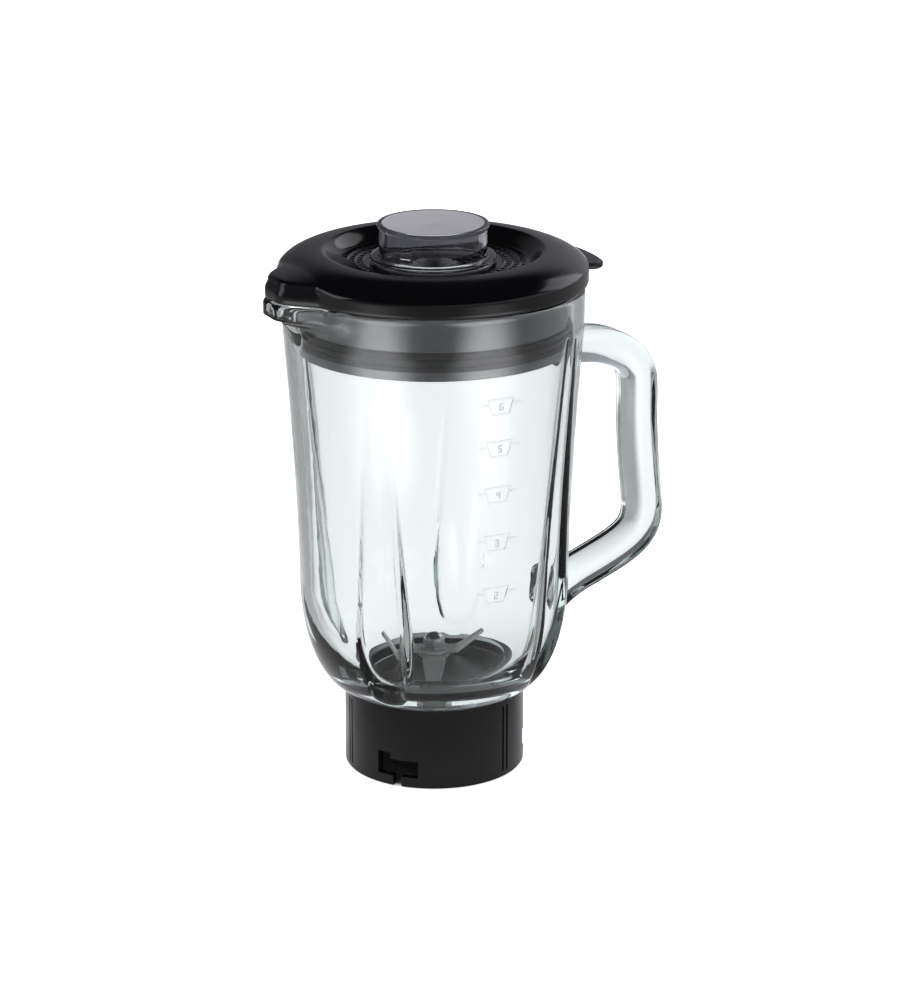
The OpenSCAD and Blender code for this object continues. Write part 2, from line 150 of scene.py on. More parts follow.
def facing_out(piece):
    """Turns the faces outward, which glass needs."""
    bm = bmesh.new()
    bm.from_mesh(piece.data)
    bmesh.ops.recalc_face_normals(bm, faces=bm.faces)
    bm.to_mesh(piece.data)
    bm.free()


def joined(base, tool, operation):
    """Boolean of base with tool, applied; the tool is removed."""
    step = base.modifiers.new("join", "BOOLEAN")
    step.operation = operation
    step.solver = "MANIFOLD"
    step.object = tool
    graph = bpy.context.evaluated_depsgraph_get()
    made = bpy.data.meshes.new_from_object(base.evaluated_get(graph))
    base.modifiers.clear()
    base.data = made
    bpy.data.objects.remove(tool)
    return base

# %% [markdown]
# ## The shape of the glass
# The jug is pressed in one piece. Its outline is a quarter-ellipse bowl on a narrow foot,
# then a wall that flares slowly to the rim. Four flutes are pressed in from outside and
# stand as ribs inside, and the rim is drawn out into a spout. Each of these is a function
# of height and angle, so the skin needs no cutting and stays smooth.

# %% Glass outline
glass_t = 4.6 * MM
body_r = 61.8 * MM
rim_r = 68.5 * MM
flare_r = rim_r - 0.3 * MM
shoulder_z = collar_z + 0.5 * MM
bowl_r = collar_r - 1.5 * MM
bowl_top = shoulder_z + 51.5 * MM
flare_z = rim_z - 20 * MM
foot_r = collar_r - 3.9 * MM
mouth_r = foot_r - 3.6 * MM
floor_z = shoulder_z + 8.5 * MM
flare_power = 1.5


def ellipse_share(z, low):
    return math.sqrt(max(0.0, 1 - ((bowl_top - z) / (bowl_top - low)) ** 2))


def glass_out(z):
    if z < bowl_top:
        return bowl_r + (body_r - bowl_r) * ellipse_share(z, shoulder_z)
    if z < flare_z:
        return body_r + (flare_r - body_r) * ((z - bowl_top) / (flare_z - bowl_top)) ** flare_power
    return flare_r + (rim_r - flare_r) * (z - flare_z) / (rim_z - flare_z)


def glass_in(z):
    if z < bowl_top:
        return mouth_r + (body_r - glass_t - mouth_r) * ellipse_share(z, floor_z)
    return glass_out(z) - glass_t


print("body radius", body_r, "mouth radius", mouth_r)

# %% Flutes and spout as functions of angle
flute_angles = [math.radians(a) for a in (51, 140, 220, 309)]
flute_r = 12 * MM
rib_r = flute_r + glass_t - 0.6 * MM
flute_mid = collar_z + 82 * MM
flute_axis = 69.8 * MM
flute_slope = 0.12
flute_span = 0.6
flute_soft = 1.6 * MM
rib_soft = 2.2 * MM
rib_top = rim_z - 20 * MM
spout_angle = math.pi
spout_reach = rim_r + 12.4 * MM
spout_low = rim_z - 23 * MM
spout_side = 0.62
spout_span = 0.9
spout_fade = (0.4, 0.75)
spout_fade_depth = 9 * MM
spout_soft = 2.5 * MM
channel_back = 4.5 * MM
fold_round = 0.012
fold_shift = 0.11
lip_low = rim_z - 8 * MM
lip_soft = 0.8 * MM
lip_proud = 1.6 * MM
lip_turn = math.radians(22.5)
lip_end = 0.02
nose_cut = 63.4 * MM
nose_soft = 4 * MM


def soft_min(a, b, k):
    h = max(0.0, k - abs(a - b)) / k
    return min(a, b) - h * h * k / 4


def soft_max(a, b, k):
    return -soft_min(-a, -b, k)


def turn_from(angle, centre):
    return (angle - centre + math.pi) % (2 * math.pi) - math.pi


def flute_face(angle, z, radius):
    """Distance from the jug axis to the nearest leaning flute bar, or None."""
    axis = flute_axis + (z - flute_mid) * flute_slope
    for centre in flute_angles:
        off = turn_from(angle, centre)
        side = axis * math.sin(off)
        if abs(off) < flute_span and abs(side) < radius:
            return axis * math.cos(off) - math.sqrt(radius ** 2 - side ** 2)
    return None


def nose_plan(off, reach, cut):
    """Plan of a short nose: a flat front with both corners cut at 45 degrees."""
    front = reach / math.cos(off)
    flank = cut / math.cos(off - math.pi / 4)
    return soft_min(front, flank, nose_soft)


def eased(value, low, high):
    """Smooth step from 0 at low to 1 at high."""
    t = min(1.0, max(0.0, (value - low) / (high - low)))
    return t * t * (3 - 2 * t)


def spout_face(angle, z, inset):
    """Distance from the jug axis to the spout wall, or zero away from it."""
    off = abs(turn_from(angle, spout_angle))
    if off > spout_span or z < spout_low:
        return 0.0
    rise = min(1.0, (z - spout_low) / (lip_low - spout_low))
    root = glass_out(spout_low) - spout_soft
    channel = root + (spout_reach - channel_back - root) * rise - inset
    fold = math.sqrt(math.sin(off) ** 2 + fold_round) - fold_shift
    face = channel / (math.cos(off) + spout_side * fold)
    face -= spout_fade_depth * eased(off, *spout_fade)
    lip = eased(z, lip_low - lip_soft, lip_low + lip_soft)
    if lip > 0:
        nose = nose_plan(off, spout_reach - inset, nose_cut - inset)
        band = (glass_out(z) + lip_proud - inset) * (1 - eased(off, lip_turn - lip_end, lip_turn))
        face += lip * max(0.0, nose - face, band - face)
    return face


def outer_radius(angle, z):
    r = glass_out(z)
    face = flute_face(angle, z, flute_r)
    if face is not None:
        r = soft_min(r, face, flute_soft)
    return soft_max(r, spout_face(angle, z, 0.0), spout_soft)


def inner_radius(angle, z):
    r = glass_in(z)
    face = flute_face(angle, z, rib_r)
    if face is not None and z < rib_top:
        r = soft_min(r, face, rib_soft)
    return soft_max(r, spout_face(angle, z, glass_t), spout_soft)

# %% [markdown]
# ## One skin for the jug
# Rings climb the outside from the foot, roll over the rim, and go down the inside to the
# mouth at the bottom. The rim and the foot get small rounds, because a pressed edge is
# never sharp. Around each ring the points sit about one millimetre apart.

# %% Grow the jug body
AROUND = 384
angles = [2 * math.pi * j / AROUND for j in range(AROUND)]


def polar_ring(radius_of, z):
    return [
        (radius_of(a, z) * math.cos(a), radius_of(a, z) * math.sin(a), z) for a in angles
    ]


def bowl_heights(low, steps):
    return [bowl_top - (bowl_top - low) * math.cos(math.pi / 2 * i / steps) for i in range(steps)]


def wall_heights(top, steps):
    return [bowl_top + (top - bowl_top) * i / steps for i in range(steps + 1)]


def rim_rings():
    """Half-round over the rim, from the outer wall to the inner."""
    rings = []
    steps = 8
    round_r = glass_t / 2
    top = rim_z - round_r
    for s in range(1, steps):
        turn = math.pi * s / steps
        z = top + round_r * math.sin(turn)
        share = (1 - math.cos(turn)) / 2
        ring = []
        for a in angles:
            r = outer_radius(a, top) * (1 - share) + inner_radius(a, top) * share
            ring.append((r * math.cos(a), r * math.sin(a), z))
        rings.append(ring)
    return rings


def flat_ring(r, z):
    return [(r * math.cos(a), r * math.sin(a), z) for a in angles]


BOWL_STEPS = 26
WALL_STEPS = 84
foot_round = 0.6 * MM
shoulder_round = 0.4 * MM
wall_top = rim_z - glass_t / 2
outside = bowl_heights(shoulder_z, BOWL_STEPS) + wall_heights(wall_top, WALL_STEPS)
inside = bowl_heights(floor_z, BOWL_STEPS) + wall_heights(wall_top, WALL_STEPS)
rings = [flat_ring(foot_r, foot_z + foot_round), flat_ring(foot_r, shoulder_z - 1 * MM)]
rings += [flat_ring(foot_r + shoulder_round, shoulder_z - 0.1 * MM)]
rings += [polar_ring(outer_radius, z) for z in outside]
rings += rim_rings()
rings += [polar_ring(inner_radius, z) for z in reversed(inside)]
rings += [flat_ring(mouth_r, z) for z in (floor_z - 2 * MM, foot_z + foot_round)]
rings += [flat_ring(mouth_r + foot_round, foot_z), flat_ring(foot_r - foot_round, foot_z)]
jug = skin("glass_jug_pressed", rings, True, 80)
print("jug rings", len(rings), "faces", len(jug.data.polygons))

# %% [markdown]
# ## The handle
# The handle is a solid bar of glass. A rounded-square section is carried along the centre
# line; the line is first smoothed so that the bends roll, as hot glass does. Both ends run
# into the wall, and a boolean makes body and handle one skin, so no glass lies inside glass.

# %% Handle centre line
handle_w = 18 * MM
handle_t = 17 * MM
handle_corner = 5.5 * MM
root_swell = 0.16
root_length = 14 * MM
handle_line = [(-0.12, 0.802), (0.33, 0.797), (0.56, 0.785), (0.77, 0.758), (0.9, 0.721),
               (0.93, 0.677), (0.926, 0.594), (0.943, 0.516), (0.968, 0.448), (0.998, 0.38),
               (1, 0.336), (0.945, 0.301), (0.795, 0.27), (0.525, 0.24), (0.17, 0.206),
               (-0.12, 0.177)]


def handle_point(share):
    along, up = share
    return Vector((body_r + along * (handle_reach - handle_t / 2 - body_r), 0,
                   collar_z + up * (rim_z - collar_z)))


def smoothed(points, rounds):
    """Chaikin smoothing: each round cuts every corner."""
    for _ in range(rounds):
        cut = [points[0]]
        for a, b in zip(points, points[1:]):
            cut += [a * 0.75 + b * 0.25, a * 0.25 + b * 0.75]
        points = cut + [points[-1]]
    return points


def rounded_square(half_t, half_w, corner, steps=6):
    """Section points (toward the normal, across) round a soft-cornered rectangle."""
    section = []
    for quarter in range(4):
        sx = 1 if quarter in (0, 3) else -1
        sy = 1 if quarter in (0, 1) else -1
        for s in range(steps + 1):
            turn = math.pi / 2 * (quarter + s / steps)
            section.append((sx * (half_t - corner) + corner * math.cos(turn),
                            sy * (half_w - corner) + corner * math.sin(turn)))
    return section


def kept_in_wall(point):
    """Moves a point that would stand inside the jug out to the middle of the glass wall."""
    r = math.hypot(point.x, point.y)
    least = (glass_out(point.z) + glass_in(point.z)) / 2
    if r < least:
        return Vector((point.x * least / r, point.y * least / r, point.z))
    return point


line = smoothed([handle_point(s) for s in handle_line], 3)
rings = []
for i, here in enumerate(line):
    ahead = line[min(i + 1, len(line) - 1)] - line[max(i - 1, 0)]
    across = Vector((0, 1, 0))
    normal = ahead.normalized().cross(across)
    near_wall = max(0.0, 1 - abs(here.x - body_r) / root_length)
    swell = 1 + root_swell * near_wall ** 2
    section = rounded_square(handle_t / 2 * swell, handle_w / 2 * swell, handle_corner)
    rings.append([kept_in_wall(here + normal * n + across * w) for n, w in section])
handle = skin("handle_bar", rings, False, 80)
facing_out(handle)
facing_out(jug)
print("handle rings", len(rings), "section", handle_t, handle_w)

# %% [markdown]
# ## The measuring marks
# The scale is pressed into the mould: five small cup outlines, one cup of drink apart, with
# a plain figure in each and a level line on both sides. Each stroke is a thin bar whose
# front follows the wall and stands `mark_proud` out of it.

# %% Strokes on the wall
mark_shares = (0.337, 0.467, 0.586, 0.699, 0.802)
mark_first = 2
mark_proud = 0.3 * MM
mark_edge = 0.2 * MM
mark_root = -1 * MM
mark_front = 0.4
mark_wide = 0.9 * MM
figure_wide = 0.45 * MM
figure_half = 1.5 * MM
stroke_step = 1.2 * MM
figure_bars = {2: "0 2 3 4 6", 3: "0 2 3 5 6", 4: "1 2 3 5", 5: "0 1 3 5 6", 6: "0 1 3 4 5 6"}


def wall_point(x, z, lift):
    """Point on the marks' side of the wall, x to the right of the scale's middle."""
    r = glass_out(z) + lift
    a = -math.pi / 2 + x / glass_out(z)
    return Vector((r * math.cos(a), r * math.sin(a), z))


def stroke(parts, x0, z0, x1, z1, wide):
    """Thin bar along the wall from one point to another."""
    dx, dz = x1 - x0, z1 - z0
    size = math.hypot(dx, dz)
    steps = max(2, int(size / stroke_step))
    nx, nz = -dz / size * wide / 2, dx / size * wide / 2
    profile = [(1, mark_root), (1, mark_edge), (mark_front, mark_proud),
               (-mark_front, mark_proud), (-1, mark_edge), (-1, mark_root)]
    rings = []
    for s in range(steps + 1):
        x, z = x0 + dx * s / steps, z0 + dz * s / steps
        rings.append([wall_point(x + nx * side, z + nz * side, lift) for side, lift in profile])
    parts.append(rings)


def cup_strokes(parts, z, figure):
    """Cup outline with its two level lines and its figure, top edge at height z."""
    top, low, drop = 6.3 * MM, 4.1 * MM, 7 * MM
    tick_start, tick_end = top + 0.3 * MM, top + 3.6 * MM
    stroke(parts, -top, z, top, z, mark_wide)
    stroke(parts, -top, z, -low, z - drop, mark_wide)
    stroke(parts, top, z, low, z - drop, mark_wide)
    stroke(parts, -low, z - drop, low, z - drop, mark_wide)
    level = z - drop / 3
    for side in (-1, 1):
        stroke(parts, side * tick_start, level, side * tick_end, level, mark_wide)
    middle = z - drop / 2
    bars = {0: (-0.5, 1, 0.5, 1), 1: (-0.5, 0, -0.5, 1), 2: (0.5, 0, 0.5, 1), 3: (-0.5, 0, 0.5, 0),
            4: (-0.5, -1, -0.5, 0), 5: (0.5, -1, 0.5, 0), 6: (-0.5, -1, 0.5, -1)}
    for key in figure_bars[figure].split():
        x0, z0, x1, z1 = [figure_half * end for end in bars[int(key)]]
        stroke(parts, x0, middle + z0, x1, middle + z1, figure_wide)


parts = []
for count, share in enumerate(mark_shares):
    cup_strokes(parts, collar_z + share * (rim_z - collar_z), mark_first + count)
jug = joined(jug, handle, "UNION")
for rings in parts:
    bar = skin("stroke", rings, False, 30)
    facing_out(bar)
    jug = joined(jug, bar, "UNION")
jug.data.shade_smooth()
jug.data.set_sharp_from_angle(angle=math.radians(60))
print("strokes", len(parts), "jug faces", len(jug.data.polygons))

# %% Hand the jug to the frame
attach(jug, "jug")
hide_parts("glass_jug")

# %% [markdown]
# ## The lid
# The lid is a low dome on an upright skirt. Two things break its roundness: the cover that
# runs out over the spout, with a slightly arched roof, and the grip tab over the handle.
# The top is grown as a height over plan, so dome and roof meet in a soft crease.

# %% Lid outline and heights
ridge_r = lid_r * 0.7
crown_r = ridge_r + 1.5 * MM
recess_r = ridge_r - 6 * MM
recess_z = dome_z - 5.9 * MM
skirt_top = lid_z + 6.3 * MM
opening_r = 24.8 * MM
beak_reach = spout_reach - 0.8 * MM
beak_cut = nose_cut - 0.8 * MM
beak_lean = 1.3 * MM
beak_front_z = dome_z - 4.4 * MM
beak_back_z = dome_z - 1.9 * MM
beak_round = 1.9 * MM
beak_span = 0.7
roof_span = 0.6
beak_arch = 0.9 * MM
beak_half = 14 * MM
beak_length = beak_reach - lid_r + 8.5 * MM
crease_soft = 0.7 * MM
flank_soft = 0.8 * MM
dome_power = 0.636


def dome_height(r):
    """Recess floor, soft ridge, then a falling shoulder that ends upright."""
    if r < crown_r:
        return recess_z + (dome_z - recess_z) * eased(r, recess_r, crown_r)
    share = min(1.0, (r - crown_r) / (lid_r - crown_r))
    return skirt_top + (dome_z - skirt_top) * (1 - share ** 2) ** dome_power


def lid_plan(angle, inset=0.0):
    """Plan radius of the skirt: the circle, drawn out over the spout."""
    off = abs(turn_from(angle, spout_angle))
    if off > beak_span:
        return lid_r
    nose = nose_plan(off, beak_reach - inset, beak_cut - inset)
    return soft_max(lid_r, nose, flank_soft)


def roof_height(r, angle):
    """Top of the spout cover: nearly flat, arched across, rounded at its edge."""
    off = turn_from(angle, spout_angle)
    along = r * math.cos(off)
    across = r * math.sin(off)
    if abs(off) > roof_span or along < recess_r:
        return -1.0
    share = (beak_reach - along) / beak_length
    z = beak_front_z + (beak_back_z - beak_front_z) * share
    z -= beak_arch * (across / beak_half) ** 2
    near = beak_round - max(0.0, lid_plan(angle, beak_lean) - r)
    if near > 0:
        z -= beak_round - math.sqrt(max(0.0, beak_round ** 2 - near ** 2))
    return z


print("lid ridge", ridge_r, "beak reach", beak_reach)

# %% Lid top with rings in the recess
LID_AROUND = 480
lid_angles = [2 * math.pi * j / LID_AROUND for j in range(LID_AROUND)]
row_pitch = 3.6 * MM
row_count = 3
slot_radii = [ridge_r - 8.2 * MM - row_pitch * row for row in range(row_count)]
ring_radii = [radius - row_pitch / 2 for radius in slot_radii]
ring_half = 0.75 * MM
ring_high = 0.5 * MM


def top_height(r, angle):
    z = soft_max(dome_height(r), roof_height(r, angle), crease_soft)
    for ring in ring_radii:
        near = abs(r - ring) / ring_half
        if near < 1:
            z += ring_high * (1 - near ** 2)
    return z


def top_samples():
    """Radii dense enough for the rings in the recess and for the ridge."""
    floor = list(np.linspace(opening_r, recess_r, 56))
    ridge = list(np.linspace(recess_r, crown_r, 18))[1:]
    return floor + ridge


def lid_ring(r_of, z_of):
    ring = []
    for a in lid_angles:
        r = r_of(a)
        ring.append((r * math.cos(a), r * math.sin(a), z_of(r, a)))
    return ring


lid_wall = 2.4 * MM
hem = 0.8 * MM
neck_low = lid_low.z
neck_round = 0.5 * MM
straight_from = 0.55


def under_height(r):
    """Inside of the lid, one wall below the top."""
    return (dome_height(min(r, lid_r)) if r > recess_r else recess_z) - lid_wall


rings = []
for r in top_samples():
    rings.append(lid_ring(lambda a: r, top_height))
for share in np.linspace(0, 1, 44)[1:]:
    out = math.sin(math.pi / 2 * share)
    rings.append(lid_ring(lambda a: crown_r + (lid_plan(a, beak_lean) - crown_r) * out, top_height))
top_edge = [p[2] for p in rings[-1]]
for drop in (0.12, 0.25, 0.4, 0.6, 0.8, 1):
    ring = []
    for a, edge_z in zip(lid_angles, top_edge):
        r = lid_plan(a, beak_lean * (1 - eased(drop, 0, straight_from)))
        z = edge_z + (lid_z + hem - edge_z) * drop
        ring.append((r * math.cos(a), r * math.sin(a), z))
    rings.append(ring)
for inset, lift in ((0, hem), (0.25 * MM, 0.2 * MM), (hem, 0), (1.8 * MM, 0),
                    (lid_wall, 0.4 * MM), (lid_wall, 2.5 * MM)):
    rings.append(lid_ring(lambda a: lid_plan(a) - inset, lambda r, a: lid_z + lift))
for share in np.linspace(0, 1, 30):
    rings.append(lid_ring(
        lambda a: (lid_plan(a) - lid_wall) * (1 - share) + (opening_r + lid_wall) * share,
        lambda r, a: under_height(r)))
for wall, z in ((lid_wall, neck_low + neck_round), (lid_wall / 2, neck_low), (0, neck_low + neck_round)):
    rings.append(lid_ring(lambda a: opening_r + wall, lambda r, a: z))
lid = skin("lid_moulded", rings, True, 35)
facing_out(lid)
print("lid faces", len(lid.data.polygons))

# %% Grip tab
tab_root_r = lid_r * 0.93
tab_round_from = 0.72
tab_round_power = 2.2


def tab_outline(reach, half_angle, corner):
    """Plan of the tab: an arc with rounded ends."""
    points = []
    for share in np.linspace(-1, 1, 33):
        a = half_angle * share
        cut = max(0.0, abs(share) - tab_round_from) / (1 - tab_round_from)
        r = reach - corner * cut ** tab_round_power
        points.append((r * math.cos(a), r * math.sin(a)))
    for a in (half_angle, -half_angle):
        points.append((tab_root_r * math.cos(a), tab_root_r * math.sin(a)))
    return points


tab_plan = tab_outline(lid_high.x, math.radians(15), 4 * MM)
rings = []
for z, inset in ((0.4, 0.5), (0.8, 0.1), (1.4, 0), (2.6, 0), (3.1, 0.15), (3.4, 0.6)):
    rings.append([(x - inset * MM * x / lid_high.x, y * (1 - inset * 0.03), lid_z + z * MM)
                  for x, y in tab_plan])
tab = skin("tab", rings, False, 40)
facing_out(tab)
lid = joined(lid, tab, "UNION")
print("tab reach", lid_high.x)

# %% Steam slots
slot_pitch = 4.2 * MM
slot_half_length = 1.15 * MM
slot_half_width = 0.7 * MM


def slot_cutter(radius, angle):
    """Small curved block that cuts one slot through the recess floor."""
    half = slot_half_length / radius
    corners = [(radius + dr * slot_half_width, angle + da * half)
               for dr, da in ((-1, -1), (-1, 1), (1, 1), (1, -1))]
    rings = [[(r * math.cos(t), r * math.sin(t), z) for r, t in corners]
             for z in (recess_z - 4 * MM, recess_z + 2 * MM)]
    cutter = skin("slot", rings, False, 30)
    facing_out(cutter)
    return cutter


def gathered(pieces):
    """One mesh object from several that don't touch."""
    bm = bmesh.new()
    for piece in pieces:
        bm.from_mesh(piece.data)
    bm.to_mesh(pieces[0].data)
    bm.free()
    for piece in pieces[1:]:
        bpy.data.objects.remove(piece)
    return pieces[0]


cutters = []
for row, radius in enumerate(slot_radii):
    number = int(2 * math.pi * radius / slot_pitch)
    for i in range(number):
        cutters.append(slot_cutter(radius, 2 * math.pi * (i + 0.5 * (row % 2)) / number))
slot_count = len(cutters)
lid = joined(lid, gathered(cutters), "DIFFERENCE")
lid.data.shade_smooth()
lid.data.set_sharp_from_angle(angle=math.radians(32))
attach(lid, "lid")
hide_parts("lid_shell")
print("steam slots", slot_count)

# %% [markdown]
# ## The filler cap
# The cap is a clear cup, closed at the top and open below, with a lip, a ring that rests on
# the lid and a web across it to grip. It is turned with soft edges, and the web and the two
# small blocks on its wall are joined to it, so light passes through one skin.

# %% Turn the cap
cap_r = 24.3 * MM
cap_wall = 2 * MM
cap_top = cap_high.z
cap_lip_r = cap_r + 0.9 * MM
cap_roof_z = cap_top - 2.2 * MM
cap_dish_z = cap_top - 0.5 * MM
cap_centre_r = 0.02 * MM
ring_r = cap_r + 4.2 * MM
ring_z = recess_z + 1 * MM
ring_t = 2 * MM
web_t = 2.4 * MM
web_h = 6.6 * MM
web_z = cap_top - 5.2 * MM
web_seen_low = cap_top - 9 * MM
web_seen_high = cap_top - 2.5 * MM
pad_size = (1.7 * MM, 5.4 * MM, 2.6 * MM)
pad_z = ring_z + 4.1 * MM
cap = turned("filler_cap_clear", [
    (cap_r, cap_low.z), (cap_r, ring_z), (ring_r, ring_z),
    (ring_r, ring_z + ring_t), (cap_r, ring_z + ring_t), (cap_r, cap_roof_z),
    (cap_lip_r, cap_top - 1.9 * MM), (cap_lip_r, cap_top),
    (cap_r - 1.6 * MM, cap_top), (cap_r - 2.1 * MM, cap_dish_z), (cap_centre_r, cap_dish_z),
    (cap_centre_r, cap_roof_z), (cap_r - cap_wall, cap_roof_z),
    (cap_r - cap_wall, cap_low.z)], 0.6 * MM)
facing_out(cap)


def block(name, centre, size, turn=0.0, soft=0.4 * MM):
    """Small box with rounded edges, turned about the jug axis."""
    bm = bmesh.new()
    bmesh.ops.create_cube(bm, size=1)
    for v in bm.verts:
        v.co = Vector((v.co.x * size[0], v.co.y * size[1], v.co.z * size[2])) + Vector(centre)
    bmesh.ops.bevel(bm, geom=bm.edges[:], offset=soft, segments=2, affect="EDGES", profile=0.5)
    c, s = math.cos(turn), math.sin(turn)
    for v in bm.verts:
        v.co = Vector((v.co.x * c - v.co.y * s, v.co.x * s + v.co.y * c, v.co.z))
    mesh = bpy.data.meshes.new(name)
    bm.to_mesh(mesh)
    bm.free()
    piece = bpy.data.objects.new(name, mesh)
    bpy.context.scene.collection.objects.link(piece)
    return piece


web = block("web", (0, 0, web_z), (2 * cap_r - cap_wall, web_t, web_h))
cap = joined(cap, web, "UNION")
for turn in (-146, 34):
    pad = block("pad", (cap_r + 0.1 * MM, 0, pad_z), pad_size, math.radians(turn))
    cap = joined(cap, pad, "UNION")
cap.data.shade_smooth()
cap.data.set_sharp_from_angle(angle=math.radians(45))
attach(cap, "cap")
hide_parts("filler_cap")
print("cap top", cap_top)

# %% [markdown]
# ## Soft edges on the parts that stay
# The collar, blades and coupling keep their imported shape. A narrow bevel on their sharp
# edges gives the thin highlights that moulded and stamped parts show.

# %% Bevels
def soften_edges(node, width, segments=2, angle=35):
    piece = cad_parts[node]
    step = piece.modifiers.new("soft edges", "BEVEL")
    step.width = width
    step.segments = segments
    step.limit_method = "ANGLE"
    step.angle_limit = math.radians(angle)
    step.harden_normals = False


stamped_edge = 0.25 * MM
moulded_edge = 0.35 * MM
for node in ("lower_blade", "upper_blade", "cap_nut", "drive_coupling"):
    soften_edges(node, stamped_edge)
soften_edges("locking_collar", moulded_edge)
print("edges softened", stamped_edge, moulded_edge)

# %% [markdown]
# ## Shared surface effects
# Several finishes need the same small irregularities: a fine moulded grain, faint smudges
# that change the gloss, and a slow wave as in pressed glass. Each is a node group with
# named inputs, built once, so every material sets its own strength.

# %% Node group helpers
def group_tree(name, inputs, outputs):
    tree = bpy.data.node_groups.new(name, "ShaderNodeTree")
    for label, kind, value in inputs:
        socket = tree.interface.new_socket(name=label, in_out="INPUT", socket_type=kind)
        socket.default_value = value
    for label, kind in outputs:
        tree.interface.new_socket(name=label, in_out="OUTPUT", socket_type=kind)
    start = tree.nodes.new("NodeGroupInput")
    stop = tree.nodes.new("NodeGroupOutput")
    return tree, start, stop


def add_node(tree, kind, **settings):
    node = tree.nodes.new(kind)
    for key, value in settings.items():
        setattr(node, key, value)
    return node


def moulded_grain():
    tree, start, stop = group_tree(
        "moulded grain",
        [("Scale", "NodeSocketFloat", 900.0), ("Depth", "NodeSocketFloat", 0.1)],
        [("Height", "NodeSocketFloat"), ("Mask", "NodeSocketFloat")])
    place = add_node(tree, "ShaderNodeTexCoord")
    noise = add_node(tree, "ShaderNodeTexNoise")
    noise.inputs["Detail"].default_value = 3
    depth = add_node(tree, "ShaderNodeMath", operation="MULTIPLY")
    tree.links.new(place.outputs["Object"], noise.inputs["Vector"])
    tree.links.new(start.outputs["Scale"], noise.inputs["Scale"])
    tree.links.new(noise.outputs["Fac"], depth.inputs[0])
    tree.links.new(start.outputs["Depth"], depth.inputs[1])
    tree.links.new(depth.outputs[0], stop.inputs["Height"])
    tree.links.new(noise.outputs["Fac"], stop.inputs["Mask"])
    return tree


def handling_smudge():
    tree, start, stop = group_tree(
        "handling smudge",
        [("Scale", "NodeSocketFloat", 35.0), ("Clean", "NodeSocketFloat", 0.06),
         ("Touched", "NodeSocketFloat", 0.14)],
        [("Roughness", "NodeSocketFloat")])
    place = add_node(tree, "ShaderNodeTexCoord")
    noise = add_node(tree, "ShaderNodeTexNoise")
    noise.inputs["Detail"].default_value = 4
    span = add_node(tree, "ShaderNodeMapRange")
    span.inputs["From Min"].default_value = 0.42
    span.inputs["From Max"].default_value = 0.72
    tree.links.new(place.outputs["Object"], noise.inputs["Vector"])
    tree.links.new(start.outputs["Scale"], noise.inputs["Scale"])
    tree.links.new(noise.outputs["Fac"], span.inputs["Value"])
    tree.links.new(start.outputs["Clean"], span.inputs["To Min"])
    tree.links.new(start.outputs["Touched"], span.inputs["To Max"])
    tree.links.new(span.outputs["Result"], stop.inputs["Roughness"])
    return tree


def cut_lines():
    """Fine lines left by brushing or turning, drawn out along one axis."""
    tree, start, stop = group_tree(
        "cut lines",
        [("Stretch", "NodeSocketVector", (60.0, 2400.0, 2400.0)), ("Low", "NodeSocketFloat", 0.2),
         ("High", "NodeSocketFloat", 0.36)],
        [("Roughness", "NodeSocketFloat"), ("Height", "NodeSocketFloat")])
    place = add_node(tree, "ShaderNodeTexCoord")
    stretch = add_node(tree, "ShaderNodeVectorMath", operation="MULTIPLY")
    noise = add_node(tree, "ShaderNodeTexNoise")
    noise.inputs["Scale"].default_value = 1
    noise.inputs["Detail"].default_value = 4
    span = add_node(tree, "ShaderNodeMapRange")
    tree.links.new(place.outputs["Object"], stretch.inputs[0])
    tree.links.new(start.outputs["Stretch"], stretch.inputs[1])
    tree.links.new(stretch.outputs[0], noise.inputs["Vector"])
    tree.links.new(noise.outputs["Fac"], span.inputs["Value"])
    tree.links.new(start.outputs["Low"], span.inputs["To Min"])
    tree.links.new(start.outputs["High"], span.inputs["To Max"])
    tree.links.new(span.outputs["Result"], stop.inputs["Roughness"])
    tree.links.new(noise.outputs["Fac"], stop.inputs["Height"])
    return tree


GRAIN = moulded_grain()
SMUDGE = handling_smudge()
LINES = cut_lines()
print("groups", GRAIN.name, SMUDGE.name, LINES.name)

# %% [markdown]
# ## Materials
# Glass is clear with a faint green in its body, so its tint is an absorption inside the
# solid and shows where the glass is thick. The plastics differ in gloss and grain, the
# metals in the direction of their tool marks. The plug is seen through two walls of glass,
# so its index is raised until its gloss still reads there.

# %% Material helpers
def material(name):
    made = bpy.data.materials.new(name)
    made.use_nodes = True
    shader = made.node_tree.nodes["Principled BSDF"]
    return made, made.node_tree, shader


def place_group(tree, group, **values):
    node = tree.nodes.new("ShaderNodeGroup")
    node.node_tree = group
    for key, value in values.items():
        node.inputs[key].default_value = value
    return node


def add_bump(tree, shader, height, distance, strength=1.0):
    bump = tree.nodes.new("ShaderNodeBump")
    bump.inputs["Distance"].default_value = distance
    bump.inputs["Strength"].default_value = strength
    tree.links.new(height, bump.inputs["Height"])
    tree.links.new(bump.outputs["Normal"], shader.inputs["Normal"])


def tinted(tree, shader, mask, dark, light):
    """Base colour that drifts between two close tones."""
    mix = tree.nodes.new("ShaderNodeMix")
    mix.data_type = "RGBA"
    mix.inputs["A"].default_value = (*dark, 1)
    mix.inputs["B"].default_value = (*light, 1)
    tree.links.new(mask, mix.inputs["Factor"])
    tree.links.new(mix.outputs["Result"], shader.inputs["Base Color"])


